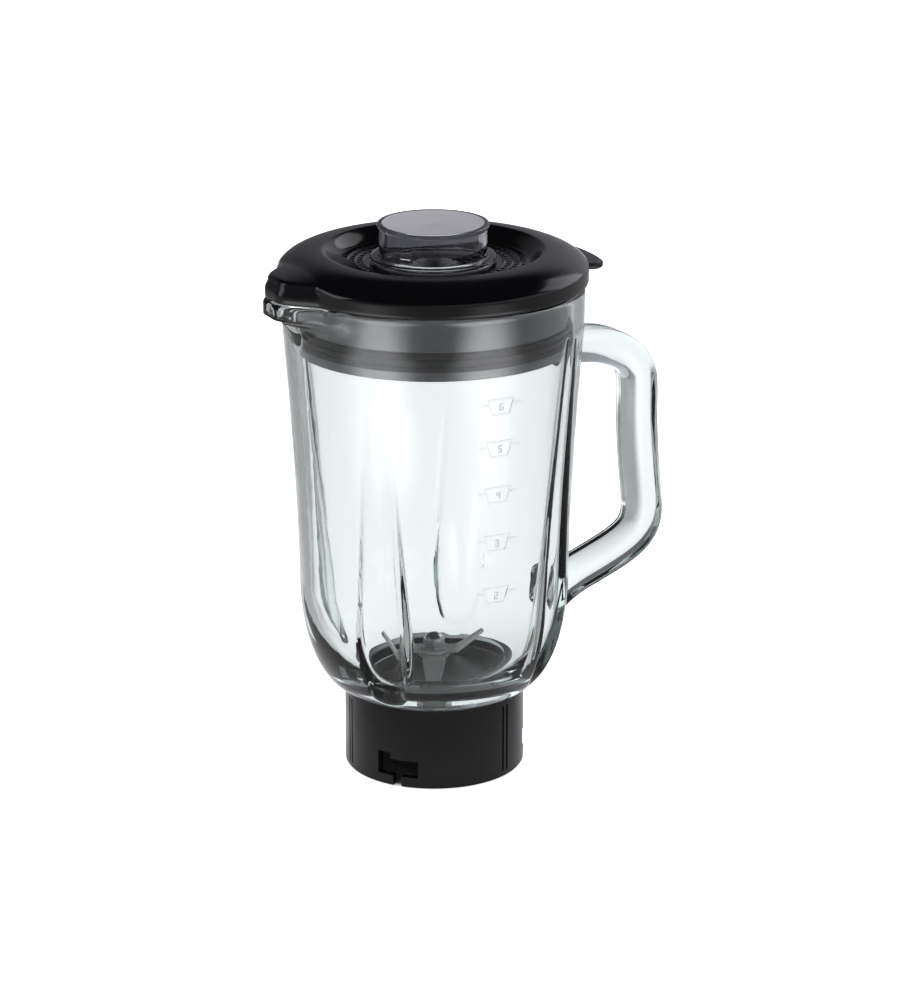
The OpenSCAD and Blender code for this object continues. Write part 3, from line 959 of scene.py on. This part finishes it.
# %% Glass and clear plastic
def pressed_glass():
    made, tree, shader = material("pressed glass")
    shader.inputs["Base Color"].default_value = (0.985, 1.0, 0.993, 1)
    shader.inputs["Roughness"].default_value = 0.0
    shader.inputs["IOR"].default_value = 1.5
    shader.inputs["Transmission Weight"].default_value = 1
    wave = place_group(tree, GRAIN, Scale=26.0, Depth=1.0)
    add_bump(tree, shader, wave.outputs["Height"], 0.0005, 0.35)
    depth = tree.nodes.new("ShaderNodeVolumeAbsorption")
    depth.inputs["Color"].default_value = (0.58, 0.86, 0.76, 1)
    depth.inputs["Density"].default_value = 10
    out = tree.nodes["Material Output"]
    tree.links.new(depth.outputs["Volume"], out.inputs["Volume"])
    return made


def clear_plastic():
    made, tree, shader = material("clear plastic")
    shader.inputs["Base Color"].default_value = (0.93, 0.94, 0.96, 1)
    shader.inputs["IOR"].default_value = 1.5
    shader.inputs["Transmission Weight"].default_value = 1
    smudge = place_group(tree, SMUDGE, Scale=60.0, Clean=0.02, Touched=0.07)
    tree.links.new(smudge.outputs["Roughness"], shader.inputs["Roughness"])
    wave = place_group(tree, GRAIN, Scale=60.0, Depth=1.0)
    add_bump(tree, shader, wave.outputs["Height"], 0.0002, 0.2)
    return made


def hazy_top():
    """The cap's flat top and its grip web, faintly frosted by handling."""
    made, tree, shader = material("hazy cap top")
    shader.inputs["IOR"].default_value = 1.5
    shader.inputs["Transmission Weight"].default_value = 0.2
    haze = place_group(tree, SMUDGE, Scale=40.0, Clean=0.16, Touched=0.26)
    tree.links.new(haze.outputs["Roughness"], shader.inputs["Roughness"])
    wave = place_group(tree, GRAIN, Scale=30.0, Depth=1.0)
    tinted(tree, shader, wave.outputs["Mask"], (0.9, 0.9, 0.96), (0.94, 0.94, 0.99))
    add_bump(tree, shader, wave.outputs["Height"], 0.0002, 0.2)
    return made


GLASS = pressed_glass()
CLEAR = clear_plastic()
HAZE = hazy_top()
print("clear materials", GLASS.name, CLEAR.name)

# %% Plastics and rubbers
def plastic(name, dark, light, clean, touched, grain_scale, grain_depth, coat=0.0, ior=1.5):
    made, tree, shader = material(name)
    grain = place_group(tree, GRAIN, Scale=grain_scale, Depth=1.0)
    tinted(tree, shader, grain.outputs["Mask"], dark, light)
    smudge = place_group(tree, SMUDGE, Scale=45.0, Clean=clean, Touched=touched)
    tree.links.new(smudge.outputs["Roughness"], shader.inputs["Roughness"])
    shader.inputs["Coat Weight"].default_value = coat
    shader.inputs["Coat Roughness"].default_value = 0.04
    shader.inputs["IOR"].default_value = ior
    add_bump(tree, shader, grain.outputs["Height"], grain_depth, 0.5)
    return made


BLACK = plastic("gloss black lid", (0.004, 0.004, 0.005), (0.006, 0.006, 0.007),
                clean=0.12, touched=0.19, grain_scale=90, grain_depth=0.000003)
GREY = plastic("gloss grey plug", (0.05, 0.05, 0.054), (0.06, 0.06, 0.064),
               clean=0.14, touched=0.2, grain_scale=90, grain_depth=0.000004, coat=0.2, ior=2.3)
SATIN = plastic("satin black collar", (0.006, 0.006, 0.0065), (0.011, 0.011, 0.012),
                clean=0.2, touched=0.3, grain_scale=1400, grain_depth=0.00003, ior=1.4)
MATTE = plastic("matt black carrier", (0.006, 0.006, 0.0065), (0.01, 0.01, 0.011),
                clean=0.36, touched=0.5, grain_scale=1300, grain_depth=0.00005)
SEAL = plastic("seal rubber", (0.02, 0.02, 0.021), (0.032, 0.032, 0.033),
               clean=0.5, touched=0.65, grain_scale=1600, grain_depth=0.00004)
PALE = plastic("pale seal rubber", (0.40, 0.40, 0.42), (0.48, 0.48, 0.5),
               clean=0.4, touched=0.55, grain_scale=1600, grain_depth=0.00004)
DRIVE = plastic("coupling rubber", (0.014, 0.014, 0.014), (0.026, 0.026, 0.026),
                clean=0.55, touched=0.7, grain_scale=1500, grain_depth=0.00006)
print("plastics made")

# %% Metals
groove_shade = 0.86


def metal(name, colour, stretch, low, high, depth, metallic=1.0):
    made, tree, shader = material(name)
    shader.inputs["Metallic"].default_value = metallic
    lines = place_group(tree, LINES, Stretch=stretch, Low=low, High=high)
    tinted(tree, shader, lines.outputs["Height"], [c * groove_shade for c in colour], colour)
    tree.links.new(lines.outputs["Roughness"], shader.inputs["Roughness"])
    add_bump(tree, shader, lines.outputs["Height"], depth, 0.5)
    return made


BLADE = metal("satin blade steel", (0.97, 0.97, 0.93), (150.0, 2600.0, 700.0),
              low=0.3, high=0.46, depth=0.00002, metallic=0.35)
STEEL = metal("turned steel", (0.66, 0.66, 0.67), (300.0, 300.0, 6000.0),
              low=0.16, high=0.3, depth=0.00002)
SPRING = metal("spring steel", (0.32, 0.32, 0.33), (900.0, 900.0, 900.0),
               low=0.3, high=0.45, depth=0.00002)
BRONZE = metal("sintered bronze", (0.62, 0.42, 0.22), (2500.0, 2500.0, 2500.0),
               low=0.38, high=0.6, depth=0.00006)
print("metals made")

# %% Give every piece its finish
finish_of = {
    "lid_plug": GREY, "lid_seal": SEAL, "filler_cap_seal": PALE, "locking_collar": SATIN,
    "jug_gasket": SEAL, "blade_carrier": MATTE, "upper_bearing": BRONZE, "lower_bearing": BRONZE,
    "shaft_seal": SEAL, "blade_spindle": STEEL, "spindle_circlip": SPRING, "thrust_washer": STEEL,
    "lower_blade": BLADE, "blade_spacer": STEEL, "upper_blade": BLADE, "lock_washer": STEEL,
    "cap_nut": STEEL, "drive_coupling": DRIVE, "coupling_hub": STEEL,
}


def dress(piece, finish):
    piece.data.materials.clear()
    piece.data.materials.append(finish)


for node, finish in finish_of.items():
    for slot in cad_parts[node].material_slots:
        slot.material = finish
for piece, finish in ((jug, GLASS), (lid, BLACK), (cap, CLEAR)):
    dress(piece, finish)
cap.data.materials.append(HAZE)
for face in cap.data.polygons:
    middle = face.center
    on_top = middle.z > cap_top - 1 * MM and face.normal.z > 0.5
    on_web = abs(middle.y) < web_t / 2 + 0.1 * MM and web_seen_low < middle.z < web_seen_high
    if (on_top or on_web) and middle.xy.length < cap_r - 0.5 * MM:
        face.material_index = 1
print("dressed", len(finish_of) + 3)

# %% [markdown]
# ## Floor, light and camera
# Glass shows its shape by what it bends into view. The jug therefore stands on a table whose emission
# holds painted light:
# a painted lane of light runs away behind it and shows as the pale inside of the glass, and two painted
# pools of light in front fill the bowl. The walls round it are dark on the left and pale on the right,
# which draws grey lines along the edges of the glass. To the camera the table is plain and pale.

# %% Camera direction
camera_azimuth = math.radians(-27)
camera_rise = math.radians(18.4)
right = Vector((math.cos(camera_azimuth), math.sin(camera_azimuth), 0))
behind = Vector((-math.sin(camera_azimuth), math.cos(camera_azimuth), 0))


def aside(across, away, up):
    """Point given across, away from and above the jug, as the camera stands."""
    return right * across + behind * away + Vector((0, 0, up))


print("to the right", tuple(round(c, 3) for c in right))

# %% Floor
def graph_math(tree, operation, a, b=0.0):
    """Maths node on two values or sockets; returns its result."""
    node = tree.nodes.new("ShaderNodeMath")
    node.operation = operation
    for place, value in zip(node.inputs, (a, b)):
        if isinstance(value, (int, float)):
            place.default_value = value
        else:
            tree.links.new(value, place)
    return node.outputs[0]


def graph_step(tree, value, low, high, start=0.0, stop=1.0):
    """Smooth change from start to stop while the value goes from low to high."""
    node = tree.nodes.new("ShaderNodeMapRange")
    node.interpolation_type = "SMOOTHSTEP"
    tree.links.new(value, node.inputs["Value"])
    node.inputs["From Min"].default_value = low
    node.inputs["From Max"].default_value = high
    node.inputs["To Min"].default_value = start
    node.inputs["To Max"].default_value = stop
    return node.outputs["Result"]


table_r = 2.6
table_glow = (0.968, 0.962, 1, 1)
# Painted light: a lane behind the jug and two patches in front glow in the floor's emission; no lamp
# makes them.
lane_half = 0.085
lane_spread = 0.17
painted_lane_glow = 0.68
patch_across = 0.42
patch_away = -0.47
painted_patch_glow = 1.9
# Painted shadow under the collar: the floor's glow fades out between these two distances from the axis.
painted_collar_shadow = (0.036, 0.044)


def distance_from(tree, across, away, x=0.0, y=0.0):
    """Distance on the table from the point (x, y)."""
    dx = graph_math(tree, "POWER", graph_math(tree, "SUBTRACT", across, x), 2.0)
    dy = graph_math(tree, "POWER", graph_math(tree, "SUBTRACT", away, y), 2.0)
    return graph_math(tree, "SQRT", graph_math(tree, "ADD", dx, dy))


def painted_table_glow(tree, across, away):
    """Strength of the painted glow on the table: a painted lane of light behind, and one painted pool of
    light on either side in front.
    """
    aside_by = graph_math(tree, "ABSOLUTE", across)
    widen = graph_math(tree, "MULTIPLY", graph_math(tree, "MAXIMUM", away, 0.0), lane_spread)
    edge = graph_math(tree, "SUBTRACT", graph_math(tree, "SUBTRACT", aside_by, widen), lane_half)
    # painted lane of light running away behind the jug
    lane = graph_math(tree, "MULTIPLY", graph_step(tree, edge, -0.05, 0.08, painted_lane_glow, 0.02),
                      graph_step(tree, away, -0.16, 0.06))
    # two painted pools of light, one on either side in front
    spread = distance_from(tree, aside_by, away, patch_across, patch_away)
    return graph_math(tree, "ADD", lane, graph_step(tree, spread, 0.1, 0.38, painted_patch_glow, 0.0))


def make_floor():
    """Pale table with painted glow; the glow is cut out under the collar as a painted shadow, so the
    slots stay dark.
    """
    bpy.ops.mesh.primitive_circle_add(vertices=96, radius=table_r, fill_type="NGON",
                                      location=(0, 0, -0.4 * MM))
    floor = bpy.context.object
    floor.name = "floor"
    made, tree, shader = material("pale floor with painted glow")
    grain = place_group(tree, GRAIN, Scale=9.0, Depth=1.0)
    tinted(tree, shader, grain.outputs["Mask"], (0.86, 0.86, 0.86), (0.9, 0.9, 0.9))
    shader.inputs["Roughness"].default_value = 0.9
    place = tree.nodes.new("ShaderNodeTexCoord")
    turn = tree.nodes.new("ShaderNodeMapping")
    turn.inputs["Rotation"].default_value = (0, 0, -camera_azimuth)
    split = tree.nodes.new("ShaderNodeSeparateXYZ")
    tree.links.new(place.outputs["Object"], turn.inputs["Vector"])
    tree.links.new(turn.outputs["Vector"], split.inputs[0])
    across, away = split.outputs["X"], split.outputs["Y"]
    seen = tree.nodes.new("ShaderNodeLightPath")
    # Painted light: rays other than camera rays see the painted lane and pools; camera rays see the
    # floor plain and bright.
    glow = graph_math(tree, "ADD", painted_table_glow(tree, across, away), seen.outputs["Is Camera Ray"])
    # Painted shadow: the glow is cut out under the collar.
    painted_shadow_mask = graph_step(tree, distance_from(tree, across, away), *painted_collar_shadow)
    shader.inputs["Emission Color"].default_value = table_glow
    tree.links.new(graph_math(tree, "MULTIPLY", painted_shadow_mask, glow), shader.inputs["Emission Strength"])
    dress(floor, made)
    print("table radius", table_r)


make_floor()

# %% Lights
def area_light(name, place, aim, size, power, shade=(1, 1, 1)):
    data = bpy.data.lights.new(name, "AREA")
    data.shape = "RECTANGLE"
    data.size, data.size_y = size
    data.energy = power
    data.color = shade
    light = bpy.data.objects.new(name, data)
    bpy.context.scene.collection.objects.link(light)
    light.location = place
    light.rotation_mode = "QUATERNION"
    light.rotation_quaternion = (Vector(aim) - Vector(place)).to_track_quat("-Z", "Y")
    return light


window_tint = (0.96, 0.95, 1)
jug_middle = (0, 0, 0.22)
key = area_light("soft key above", aside(-0.3, -0.1, 1.6), (0, 0, 0.1), (0.9, 0.9), 8)
key.visible_glossy = False
key.visible_transmission = False
area_light("window right", aside(1.5, 1.0, 1.1), jug_middle, (1.3, 1.2), 6, window_tint)
side = area_light("window left", aside(-1.6, -0.4, 0.7), jug_middle, (0.5, 1.2), 3, window_tint)
side.visible_transmission = False

# %% Walls round the table
wall_left = (0.12, 0.12, 0.13, 1)
wall_right = (0.55, 0.55, 0.6, 1)
ceiling = (0.006, 0.006, 0.007, 1)
backdrop_white = (1.05, 1.05, 1.05, 1)


def colour_mix(tree, a, b, share):
    """Colour going from a to b, each a colour or a socket."""
    mix = tree.nodes.new("ShaderNodeMix")
    mix.data_type = "RGBA"
    for label, value in (("A", a), ("B", b)):
        if isinstance(value, tuple):
            mix.inputs[label].default_value = value
        else:
            tree.links.new(value, mix.inputs[label])
    tree.links.new(share, mix.inputs["Factor"])
    return mix.outputs["Result"]


def studio_world():
    """Walls, dark on the left and pale on the right, under a dark ceiling."""
    world = bpy.data.worlds.new("surroundings")
    bpy.context.scene.world = world
    world.use_nodes = True
    tree = world.node_tree
    place = tree.nodes.new("ShaderNodeTexCoord")
    parts = tree.nodes.new("ShaderNodeSeparateXYZ")
    tree.links.new(place.outputs["Generated"], parts.inputs[0])
    across = tree.nodes.new("ShaderNodeVectorMath")
    across.operation = "DOT_PRODUCT"
    across.inputs[1].default_value = right
    tree.links.new(place.outputs["Generated"], across.inputs[0])
    walls = colour_mix(tree, wall_left, wall_right,
                       graph_step(tree, across.outputs["Value"], -0.3, 0.6))
    room = colour_mix(tree, walls, ceiling, graph_step(tree, parts.outputs["Z"], 0.38, 0.62))
    seen = tree.nodes.new("ShaderNodeLightPath")
    sky = colour_mix(tree, room, backdrop_white, seen.outputs["Is Camera Ray"])
    tree.links.new(sky, tree.nodes["Background"].inputs["Color"])


studio_world()
bpy.context.scene.view_settings.view_transform = "Standard"
print("world", bpy.context.scene.world.name)

# %% Camera
camera_range = 1.708
aim_right = 12.9 * MM
aim_up = 125.8 * MM
back = Vector((0, 0, math.sin(camera_rise))) - behind * math.cos(camera_rise)
aim = aside(aim_right, 0, aim_up)
camera_data = bpy.data.cameras.new("camera")
camera = bpy.data.objects.new("camera", camera_data)
bpy.context.scene.collection.objects.link(camera)
camera_data.lens = 134.3
camera_data.sensor_width = 36
camera.location = aim + back * camera_range
camera.rotation_mode = "QUATERNION"
camera.rotation_quaternion = (-back).to_track_quat("-Z", "Y")
bpy.context.scene.camera = camera
print("camera", tuple(round(c, 3) for c in camera.location))

# %% Update the scene
bpy.context.view_layer.update()
